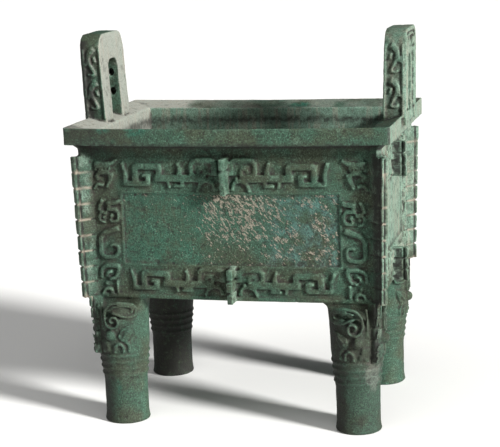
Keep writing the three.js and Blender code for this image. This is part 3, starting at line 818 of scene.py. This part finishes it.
def patches_at(plan, places, normals, panel, flange, lumps):
    """Where the skin is teal, mint, repaired and blue, with painted light on the inner back wall."""
    x, y, z = places.T
    _, middling, small = lumps
    front = y < -plan.half_width
    teal = panel * step(-x, -60, 160) * front
    rim_front = step(z, plan.rim_under, plan.rim_under + 6) * front
    blots = np.maximum.reduce([
        oval(x, plan.rim_top - z, blot, 0.5 * small, size=1.2) for blot in RIM_BLOTS])
    teal = np.maximum(0.42 * teal, rim_front * blots)
    back_patch = step(z, plan.rim_top - 26, plan.rim_top - 20) * (y > plan.half_width - 30)
    back_patch = back_patch * oval(x, y, BACK_RIM_PATCH, 0.3 * small, edge=0.25)
    # painted light: the inner back wall, in the shadow of the right wall and rim, is lightened with teal
    # and mint
    inside_back_painted_light = (z > plan.belly + 40) * (z < plan.rim_top - 4) * (y > 0) * (y < plan.half_width)
    inside_back_painted_light = inside_back_painted_light * (abs(x) < plan.half_length - 20) * step(-normals[:, 1], 0.4, 0.8)
    streak = oval(x + 0.12 * (z - LEG_STREAK[1]), z, LEG_STREAK, 0.3 * small)
    teal = np.maximum.reduce((teal, back_patch, 0.5 * inside_back_painted_light, streak * (y < -plan.half_width / 2)))

    right = step(x, plan.half_length - 14, plan.half_length) * step(z, plan.belly, plan.belly + 80)
    flange_root = (x > plan.half_length) * (x < plan.half_length + 32)
    flange_root = flange_root * (abs(y) < CENTRE_THICKNESS) * (z < plan.rim_under)
    right_ear = (x > plan.half_length - 40) * (z > plan.rim_top + 2)
    mint = np.maximum.reduce((right * step(normals[:, 0], 0.2, 0.8) * (1 - 0.5 * flange),
                              0.75 * inside_back_painted_light, 0.8 * flange_root, 0.45 * right_ear))

    ear_inner = (x < -plan.half_length + 30) * (z > plan.rim_top - 20) * step(normals[:, 0], 0.1, 0.7)
    ear_inner = ear_inner * (abs(y) < EAR_HALF_WIDTH + 1)
    rim_top = (z > plan.rim_under) * (z < plan.rim_top + 4) * step(normals[:, 2], 0.5, 0.9)
    rim_left = rim_top * step(-x - plan.half_length + 150 + 60 * middling, -30, 30)
    rim_back = rim_top * (y > plan.half_width - 30) * (1 - back_patch)
    rim_back = rim_back * np.clip(0.42 * (0.6 + 0.8 * middling), 0.05, 0.36)
    inside_left = (x < -plan.half_length + 60) * (abs(y) < plan.half_width) * (z > plan.belly + 40)
    inside_left = inside_left * step(normals[:, 0], 0.4, 0.8)
    scrape = oval(x, z, LEG_SCRAPE, 0.3 * small) * (y < 0)
    repair = np.maximum.reduce(
        (0.66 * ear_inner, 0.9 * rim_left, rim_back, 0.75 * inside_left, 0.32 * scrape))
    return teal, mint, np.clip(repair, 0, 1), panel * step(x, 60, 200)


def stains_and_shade_at(plan, places, normals, flange, groove, sunless):
    """Where brown-black stains, painted shade and painted shadow lie."""
    x, y, z = places.T
    legs = step(plan.belly - 10 - z, 0, 20)
    # painted shade on the legs' sides turned from the light
    leg_side_shade = legs * step(-normals[:, 0], -0.1, 0.7)
    front_right_leg = 0.45 * legs * (x > 0) * (y < 0)
    # painted shadow on the back left leg, which stands in the shade under the body
    back_left_leg_shadow = legs * (x < 0) * (y > 0)
    left_flange = 0.3 * flange * (x < 0) * (y < 0)
    under_rim = z < plan.rim_under + 2
    rim_shadow = 0.9 * step(z, plan.rim_under - 26, plan.rim_under - 14) * under_rim
    neck_end = 0.8 * step(z, plan.rim_under - 60, plan.rim_under - 20) * under_rim * step(-x, 300, 460)
    ear_edge = (x < -plan.half_length) * (z > plan.rim_top) * (y < -EAR_HALF_WIDTH + 12)
    ear_edge = ear_edge * step(-x - plan.half_length - 26 - (z - plan.rim_top) * 0.11, -4, 6)
    # painted shade darkens the front towards its left end, where less light falls, and a dark line runs
    # down the rim's right corner
    falloff_shade_strength = np.where(z > plan.rim_under, 0.62, 0.38)
    left_end_falloff_shade = falloff_shade_strength * step(-x, 120, 520) * (y < -plan.half_width + 20) * (1 - flange)
    corner_line = (abs(x - plan.half_length - plan.overhang + 2) < 5) * (z > plan.rim_under)
    corner_line = 0.9 * corner_line * (y < -plan.half_width - plan.overhang + 9)
    # groove and sunless add painted shade in the flanges' grooves and on the front right flange's side
    # turned from the light
    return np.maximum.reduce((leg_side_shade, front_right_leg, back_left_leg_shadow, groove, sunless, left_flange,
                              rim_shadow, neck_end, ear_edge, left_end_falloff_shade, corner_line))


def weather(mesh, plan):
    """Softens the carving, bows the walls, lays crust and pits on the skin, and paints what is where,
    painted shade, shadow, light and highlights included.
    """
    places, normals, edges = mesh_arrays(mesh)
    places = eased(places, edges, 1)
    lumps = [grain(places, size, seed) for seed, size in enumerate(LUMPS, 1)]
    panel, crust, pits = roughen(places, normals, plan, lumps)
    groove_edges(places, plan)
    drill(places, plan)
    bow(places, plan)
    mesh.vertices.foreach_set("co", places.astype(np.float32).ravel())
    mesh.update()

    places, normals, edges = mesh_arrays(mesh)
    near = eased(places, edges, 4)
    far = eased(near, edges, 26)
    small_dent = np.einsum("ij,ij->i", near - places, normals)
    wide_dent = np.einsum("ij,ij->i", far - places, normals)
    x, y, z = places.T
    flange, cut, groove = flanges_at(plan, x, y, z)
    # the front right flange turns its back on the light: that side gets painted shade over its dark patina,
    # and no scored lines
    sunless = flange * (x > 0) * (y < 0) * step(-normals[:, 0] - normals[:, 1], 0.5, 0.9)
    scored = cut * np.clip(0.75 + lumps[1], 0.2, 1) * (abs(normals[:, 2]) < 0.8) * (1 - sunless)
    # hollow marks recesses and broad hollows: dark patina lies there, and the material also paints shade
    # there
    hollow = 0.6 * step(small_dent, 0.1, 0.9) + 0.9 * step(wide_dent, 0.2, 3.0)
    hollow = np.clip(hollow * (1 - cut), 0, 1)
    # wear keeps the hollows (dark patina and painted shade), the ridges (wear and painted highlights), the
    # crust and the pits
    paint(mesh, "wear", hollow, step(-small_dent, 0.45, 1.4), crust, pits)
    paint(mesh, "zones", *patches_at(plan, places, normals, panel, flange, lumps))
    paint(mesh, "marks", flange, scored, stains_and_shade_at(plan, places, normals, flange, groove, sunless))


def paint(mesh, name, *values):
    """Keeps three or four values of each point as a colour."""
    columns = [*values, np.ones(len(mesh.vertices))][:4]
    layer = mesh.color_attributes.new(name, "FLOAT_COLOR", "POINT")
    layer.data.foreach_set("color", np.column_stack(columns).astype(np.float32).ravel())


# The material

def node(tree, kind, inputs=(), **settings):
    """Adds one node with its settings and its inputs, each a value or another node's output."""
    made = tree.nodes.new(kind)
    for name, value in settings.items():
        setattr(made, name, value)
    for key, value in dict(inputs).items():
        if isinstance(value, bpy.types.NodeSocket):
            tree.links.new(value, made.inputs[key])
        else:
            made.inputs[key].default_value = value
    return made


def patina_material(colours):
    """Cast bronze, buried and cleaned: dull mineral green over a brown-black skin, with crust, and with
    painted shade, painted light and painted highlights.
    """
    material = bpy.data.materials.new("cast_bronze_malachite_patina")
    material.use_nodes = True
    tree = material.node_tree
    shader = tree.nodes["Principled BSDF"]
    place = node(tree, "ShaderNodeTexCoord").outputs["Object"]

    def channels(name):
        painted = node(tree, "ShaderNodeAttribute", attribute_name=name).outputs
        split = node(tree, "ShaderNodeSeparateColor", {0: painted["Color"]}).outputs
        return split[0], split[1], split[2], painted["Alpha"]
    # hollow carries dark patina and painted shade, ridge carries wear and painted highlights
    hollow, ridge, crust_zone, pits = channels("wear")
    # the teal and mint zones also hold painted light on the inner back wall
    teal_zone, mint_zone, repair_zone, blue_zone = channels("zones")
    # the third mark carries brown-black stains together with painted shade and painted shadow
    flange, scored, stain_and_shade, _ = channels("marks")

    def noise(millimetres, detail=3.0, rough=0.6, vector=place):
        return node(tree, "ShaderNodeTexNoise", {
            "Vector": vector, "Scale": 1000 / millimetres, "Detail": detail, "Roughness": rough,
        }).outputs["Fac"]

    def between(value, low, high, top=1.0):
        return node(tree, "ShaderNodeMapRange", {
            "Value": value, "From Min": low, "From Max": high, "To Max": top,
        }, interpolation_type="SMOOTHSTEP").outputs["Result"]

    def math(operation, a, b):
        return node(tree, "ShaderNodeMath", {0: a, 1: b}, operation=operation).outputs[0]

    def times(a, b):
        return math("MULTIPLY", a, b)

    def over(under, name, amount):
        return node(tree, "ShaderNodeMix", {0: amount, 6: under, 7: linear(getattr(colours, name))},
                    data_type="RGBA").outputs[2]

    def stretched(turn, times_longer):
        """The place, drawn out along an upright that is turned about Y by some degrees."""
        return node(tree, "ShaderNodeMapping", {
            "Vector": place, "Rotation": (0, radians(turn), 0), "Scale": (1, 1, times_longer),
        }, vector_type="TEXTURE").outputs[0]

    cloud = noise(140)
    blotch = noise(42, 4)
    mottle = noise(15, 4, 0.65)
    # the real speckle is about 2 mm, finer than the picture's grid, so it is drawn at 5 mm
    speck = noise(5, 3, 0.7)
    streaks = noise(16, 3, 0.6, stretched(0, 8))
    flecks = noise(7.5, 2, 0.6, stretched(-42, 2.2))
    clean = math("MAXIMUM", repair_zone, times(mint_zone, 0.6))
    bare = math("SUBTRACT", 1.0, times(clean, 0.8))
    # each layer's colour, where it lies, the noise that breaks it up, the noise's ends and the most of it
    layers = (
        ("olive", 1.0, cloud, 0.42, 0.62, 1.0),
        ("light", 1.0, blotch, 0.52, 0.8, 0.22),
        ("teal", teal_zone, mottle, 0.32, 0.6, 1.0),
        ("blue", blue_zone, blotch, 0.4, 0.66, 0.5),
        ("mint", mint_zone, mottle, 0.2, 0.6, 0.5),
        ("tan", mint_zone, streaks, 0.48, 0.62, 0.5),
        ("repair", repair_zone, mottle, 0.2, 0.42, 1.0),
        ("tan", repair_zone, streaks, 0.48, 0.66, 0.5),
        ("mint", flange, blotch, 0.4, 0.7, 0.35),
        ("soot_and_shade", bare, speck, 0.56, 0.36, 0.72),
        ("light", bare, speck, 0.56, 0.72, 0.38),
        ("soot_and_shade", bare, mottle, 0.54, 0.76, 0.5),
        # in hollows the rust is patina, and the soot there is dark patina with painted shade
        ("rust", hollow, blotch, 0.45, 0.6, 0.35),
        ("soot_and_shade", hollow, speck, 0.9, 0.45, 1.0),
        ("rust", times(flange, ridge), mottle, 0.5, 0.6, 0.6),
        # painted shade and painted shadow, with the brown-black stains
        ("soot_and_shade", stain_and_shade, mottle, 0.82, 0.46, 0.95),
        # painted highlights along the ridges, together with their wear
        ("light", ridge, mottle, 0.35, 0.6, 0.5),
    )
    skin = linear(colours.green)
    for name, where, pattern, low, high, most in layers:
        skin = over(skin, name, times(where, between(pattern, low, high, most)))
    skin = over(skin, "tan", times(scored, 0.8))
    threshold = math("SUBTRACT", 0.71, times(crust_zone, 0.26))
    crusted = between(math("SUBTRACT", flecks, threshold), -0.015, 0.06)
    crusted = times(crusted, between(crust_zone, 0.02, 0.1))
    skin = over(skin, "tan", times(crusted, between(speck, 0.36, 0.58, 0.85)))
    skin = over(skin, "soot_and_shade", times(pits, 0.35))
    tree.links.new(skin, shader.inputs["Base Color"])
    dullness = node(tree, "ShaderNodeMapRange", {"Value": mottle, "To Min": 0.55, "To Max": 0.9}).outputs[0]
    tree.links.new(dullness, shader.inputs["Roughness"])
    shader.inputs["Metallic"].default_value = 0.1
    # corrosion grit of about 2 mm, drawn at more than twice its real size so that it shows
    grit = math("ADD", math("ADD", speck, noise(2.5, 2)), times(crusted, 4))
    bump = node(tree, "ShaderNodeBump", {"Strength": 0.75, "Distance": 0.002, "Height": grit})
    tree.links.new(bump.outputs["Normal"], shader.inputs["Normal"])
    return material


class DING_OT_vessel(bpy.types.Operator):
    """Models the whole casting and gives it its patina"""
    bl_idname = "ding.vessel"
    bl_label = "Bronze casting"

    def execute(self, context):
        sizes = context.scene.ding_sizes
        plan = Plan(sizes)
        bm = bmesh.new()
        for build, *rest in sub_parts(plan):
            part = bmesh.new()
            build(part, *rest)
            bmesh.ops.recalc_face_normals(part, faces=part.faces)
            carrier = bpy.data.meshes.new("part")
            part.to_mesh(carrier)
            part.free()
            bm.from_mesh(carrier)
            bpy.data.meshes.remove(carrier)
        rough = bpy.data.meshes.new("bronze_ding")
        bm.to_mesh(rough)
        bm.free()
        voxel = plan.voxel * 1
        mesh = modified(rough, "REMESH", mode="VOXEL", voxel_size=voxel)
        weather(mesh, plan)
        mesh.calc_loop_triangles()
        mesh = modified(mesh, "DECIMATE", ratio=min(1.0, sizes.triangles / len(mesh.loop_triangles)))
        mesh.transform(Matrix.Scale(MM, 4))
        mesh.polygons.foreach_set("use_smooth", [True] * len(mesh.polygons))
        mesh.materials.append(patina_material(context.scene.ding_colours))
        piece = bpy.data.objects.new("bronze_ding", mesh)
        context.scene.collection.objects.link(piece)
        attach(piece, "root")
        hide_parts("ding_vessel")
        return {"FINISHED"}


# The stage. The camera's place and turn come from matching the photograph's rim, feet and ears.
CAMERA_PLACE = (1.2584, -4.998, 1.6863)
CAMERA_YAW = 14.73
CAMERA_PITCH = -11.43
CAMERA_ROLL = -2.17
LENS = 106.75
SHIFT = (0.0224, 0.0011)

# Each light's name, strength, angle across in degrees and the way towards it
LIGHTS = (("key", 7.4, 10, (0.86, -0.38, 0.38)), ("top", 1.1, 60, (-0.1, -0.45, 0.89)))


class DING_OT_stage(bpy.types.Operator):
    """Makes the floor, the lights and the camera"""
    bl_idname = "ding.stage"
    bl_label = "Stage"

    def execute(self, context):
        scene = context.scene
        bm = bmesh.new()
        bmesh.ops.create_grid(bm, x_segments=2, y_segments=2, size=80)
        mesh = bpy.data.meshes.new("floor")
        bm.to_mesh(mesh)
        bm.free()
        floor = bpy.data.objects.new("floor", mesh)
        scene.collection.objects.link(floor)
        paper = bpy.data.materials.new("matt_paper_floor")
        paper.use_nodes = True
        paper.node_tree.nodes["Principled BSDF"].inputs["Base Color"].default_value = linear(
            scene.ding_colours.floor)
        paper.node_tree.nodes["Principled BSDF"].inputs["Roughness"].default_value = 0.9
        mesh.materials.append(paper)
        self.lights(scene)
        self.camera(scene)
        scene.view_settings.view_transform = "Standard"
        return {"FINISHED"}

    def lights(self, scene):
        for name, energy, angle, towards in LIGHTS:
            lamp = bpy.data.objects.new(name, bpy.data.lights.new(name, "SUN"))
            lamp.data.energy = energy
            lamp.data.angle = radians(angle)
            lamp.rotation_euler = Vector(towards).to_track_quat("Z", "Y").to_euler()
            scene.collection.objects.link(lamp)
        world = bpy.data.worlds.new("studio")
        world.use_nodes = True
        world.node_tree.nodes["Background"].inputs["Color"].default_value = (0.93, 0.96, 1, 1)
        world.node_tree.nodes["Background"].inputs["Strength"].default_value = 0.08
        scene.world = world

    def camera(self, scene):
        yaw, pitch, roll = (radians(angle) for angle in (CAMERA_YAW, CAMERA_PITCH, CAMERA_ROLL))
        ahead = Vector((-sin(yaw) * cos(pitch), cos(yaw) * cos(pitch), sin(pitch)))
        right = Vector((cos(yaw), sin(yaw), 0))
        up = right.cross(ahead)
        right, up = right * cos(roll) + up * sin(roll), up * cos(roll) - right * sin(roll)
        data = bpy.data.cameras.new("camera")
        data.lens = LENS
        data.shift_x, data.shift_y = SHIFT
        camera = bpy.data.objects.new("camera", data)
        turned = Matrix((right, up, -ahead)).transposed().to_4x4()
        camera.matrix_world = Matrix.Translation(CAMERA_PLACE) @ turned
        scene.collection.objects.link(camera)
        scene.camera = camera


class DING_PT_panel(bpy.types.Panel):
    """Lists the sizes, the colours and the operators"""
    bl_idname = "DING_PT_panel"
    bl_label = "Bronze ding"
    bl_space_type = "VIEW_3D"
    bl_region_type = "UI"
    bl_category = "Ding"

    def draw(self, context):
        layout = self.layout
        for group in (context.scene.ding_sizes, context.scene.ding_colours):
            for name in group.__annotations__:
                layout.prop(group, name)
        layout.operator(DING_OT_vessel.bl_idname)
        layout.operator(DING_OT_stage.bl_idname)


CLASSES = (DingSizes, DingColours, DING_OT_vessel, DING_OT_stage, DING_PT_panel)


def register():
    for cls in CLASSES:
        bpy.utils.register_class(cls)
    bpy.types.Scene.ding_sizes = bpy.props.PointerProperty(type=DingSizes)
    bpy.types.Scene.ding_colours = bpy.props.PointerProperty(type=DingColours)


def unregister():
    del bpy.types.Scene.ding_colours
    del bpy.types.Scene.ding_sizes
    for cls in reversed(CLASSES):
        bpy.utils.unregister_class(cls)


def main():
    register()
    bpy.ops.ding.stage()
    bpy.ops.ding.vessel()


if __name__ == "__main__":
    main()
